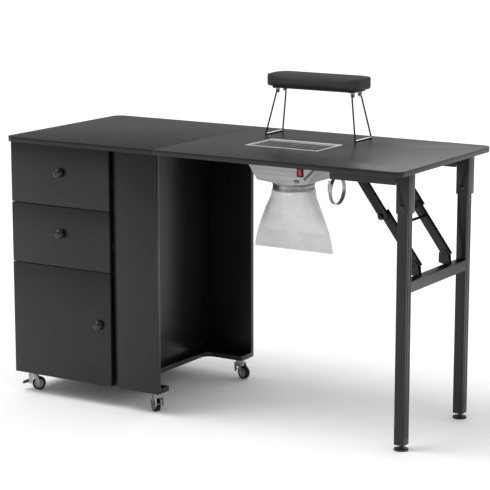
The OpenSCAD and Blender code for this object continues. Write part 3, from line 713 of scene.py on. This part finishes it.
def make_bag():
    """Non-woven bag: two panels sewn at the sides and along the bottom, gathered by the clamp."""
    top, bottom = CLAMP_HI.z - 3 * MM, BAG_LO.z
    bm = bmesh.new()
    rings = [[bm.verts.new(p) for p in bag_ring(i / BAG_ROWS, top, bottom)] for i in range(BAG_ROWS + 1)]
    count = 2 * BAG_COLS
    for upper, lower in zip(rings, rings[1:]):
        for k in range(count):
            bm.faces.new((upper[k], upper[(k + 1) % count], lower[(k + 1) % count], lower[k]))
    bag = new_piece("dust_bag_shell", bm, "leaf", "bag_fabric", 60)
    thick = bag.modifiers.new("cloth", "SOLIDIFY")
    thick.thickness = BAG_CLOTH
    thick.offset = -1
    apply_modifiers(bag)
    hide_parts("dust_bag")
    stitches = make_bag_seams()


def make_bag_seams():
    """Rows of stitches along both sides and above the bottom edge."""
    top, bottom = CLAMP_HI.z - 3 * MM, BAG_LO.z
    bm = bmesh.new()
    for i in range(16, 2 * BAG_ROWS - 4):
        if i % 2:
            continue
        t = i / (2 * BAG_ROWS)
        ring = bag_ring(t, top, bottom)
        wide = max(p.x for p in ring) - FAN.x
        for side in (-1, 1):
            x = FAN.x + side * (wide - BAG_FLANGE)
            y = min((p for p in ring if p.y <= FAN.y), key=lambda p: abs(p.x - x)).y
            z = ring[0].z
            box(bm, (x - 0.25 * MM, y - 0.45 * MM, z - 1.0 * MM), (x + 0.25 * MM, y + 0.1 * MM, z + 0.4 * MM))
    wide = (BAG_HI.x - BAG_LO.x) / 2 - 6 * MM
    steps = 80
    for i in range(steps):
        x = FAN.x - wide + 2 * wide * i / (steps - 1)
        box(bm, (x - 0.9 * MM, FAN.y - 2.1 * MM, bottom + 5.6 * MM),
            (x + 0.9 * MM, FAN.y - 0.4 * MM, bottom + 6.2 * MM))
    return new_piece("dust_bag_stitches", bm, "leaf", "bag_fabric")


def make_spare_clamp():
    """Open hose clamp on a wire hook under the leaf."""
    lo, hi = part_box("spare_clamp")
    ring_r = 41 * MM
    centre = Vector((983 - 655, 255 - 288, 669)) * MM
    turn = Matrix.Translation(centre) @ Matrix.Rotation(math.pi / 2, 4, "Y")
    bm = bmesh.new()
    profile = [(-1.2, -6), (-0.2, -6), (0, -5.4), (0, -4.2), (-0.4, -3.6), (-0.4, 3.6), (0, 4.2), (0, 5.4),
               (-0.2, 6), (-1.2, 6)]
    lathe(bm, [(ring_r + r * MM, h * MM) for r, h in profile], turn, 96, closed=True)
    band = new_piece("spare_band", bm, "leaf", "band_steel", 40)
    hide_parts("spare_clamp")
    # Dark marks on the band stand for its slots: painted shade.
    bm = bmesh.new()
    for i in range(SPARE_SLOTS):
        place = turn @ Matrix.Rotation(2 * math.pi * i / SPARE_SLOTS, 4, "Z")
        place = place @ Matrix.Translation((ring_r - 0.35 * MM, 0, 0))
        box(bm, (-0.2 * MM, -0.7 * MM, -2.6 * MM), (0.2 * MM, 0.7 * MM, 2.6 * MM), 0, place)
    new_piece("spare_slots", bm, "leaf", "groove_painted_shade")
    bm = bmesh.new()
    y = centre.y - ring_r
    box(bm, (centre.x - 6.4 * MM, y - 4.5 * MM, centre.z + 2 * MM),
        (centre.x + 6.4 * MM, y + 0.6 * MM, centre.z + 24 * MM), 1.2 * MM)
    lathe(bm, [(1 * MM, 0), (3.4 * MM, 0), (3.4 * MM, 26 * MM), (4.0 * MM, 26.4 * MM), (4.0 * MM, 30 * MM),
               (1 * MM, 30.6 * MM)],
          Matrix.Translation((centre.x, y - 3.4 * MM, centre.z + 2.4 * MM)), 20)
    new_piece("spare_screw", bm, "leaf", "zinc")
    bm = bmesh.new()
    hook_z = centre.z + ring_r - 3.4 * MM
    left, right = centre.x - 9 * MM, centre.x + 9 * MM
    bends = [(left, centre.y, hi.z - 0.2 * MM), (left, centre.y, hook_z), (right, centre.y, hook_z),
             (right, centre.y, hook_z + 6 * MM)]
    tube(bm, rounded_path(bends, 5 * MM), 2 * MM, 12)
    new_piece("spare_hook", bm, "leaf", "steel_black")


# ---------------------------------------------------------------- casters

def make_wheels():
    """Two-part wheels: rubber tyre with a tread line, grey hub with spokes."""
    for corner in ("fl", "fr", "rl", "rr"):
        node = "caster_wheel_" + corner
        joint = JOINTS["wheel_spin_" + corner]
        lo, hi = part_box(node)
        centre = (lo + hi) / 2
        axis = Vector(joint["axis"]).normalized()
        place = Matrix.Translation(centre) @ axis.to_track_quat("Z", "Y").to_matrix().to_4x4()
        body = BODY_OF[node]
        bm = bmesh.new()
        profile = [(14.5, -7.4), (18.2, -8), (19.4, -7.2), (20, -5.2), (20, -0.8), (19.3, -0.4), (19.3, 0.4),
                   (20, 0.8), (20, 5.2), (19.4, 7.2), (18.2, 8), (14.5, 7.4)]
        lathe(bm, [(r * MM, h * MM) for r, h in profile], place, 56, closed=True)
        tyre = new_piece("tyre_" + corner, bm, body, "tyre_black", 35)
        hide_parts(node)
        bm = bmesh.new()
        profile = [(3.2, -7.8), (5.4, -7.8), (6, -7.2), (6, -5.4), (12, -4.8), (13, -7.2), (14.6, -7.2),
                   (14.6, 7.2), (13, 7.2), (12, 4.8), (6, 5.4), (6, 7.2), (5.4, 7.8), (3.2, 7.8)]
        lathe(bm, [(r * MM, h * MM) for r, h in profile], place, 48, closed=True)
        for k in range(5):
            turn = place @ Matrix.Rotation(2 * math.pi * k / 5, 4, "Z")
            box(bm, (5 * MM, -1.2 * MM, -6.6 * MM), (13.5 * MM, 1.2 * MM, 6.6 * MM), 0.4 * MM, turn)
        new_piece("hub_" + corner, bm, body, "hub_grey", 35)


MATERIALS = make_materials()
make_camera()
make_studio()
make_plain_pieces()
make_toned_pieces()
make_leg_details()
make_braces()
make_cushion()
make_housing()
make_clamp_band()
make_bag()
make_spare_clamp()
make_wheels()

for node, obj in NODES.items():
    obj.data.materials.clear()
    obj.data.materials.append(MATERIALS[SLOT_OF[node]])
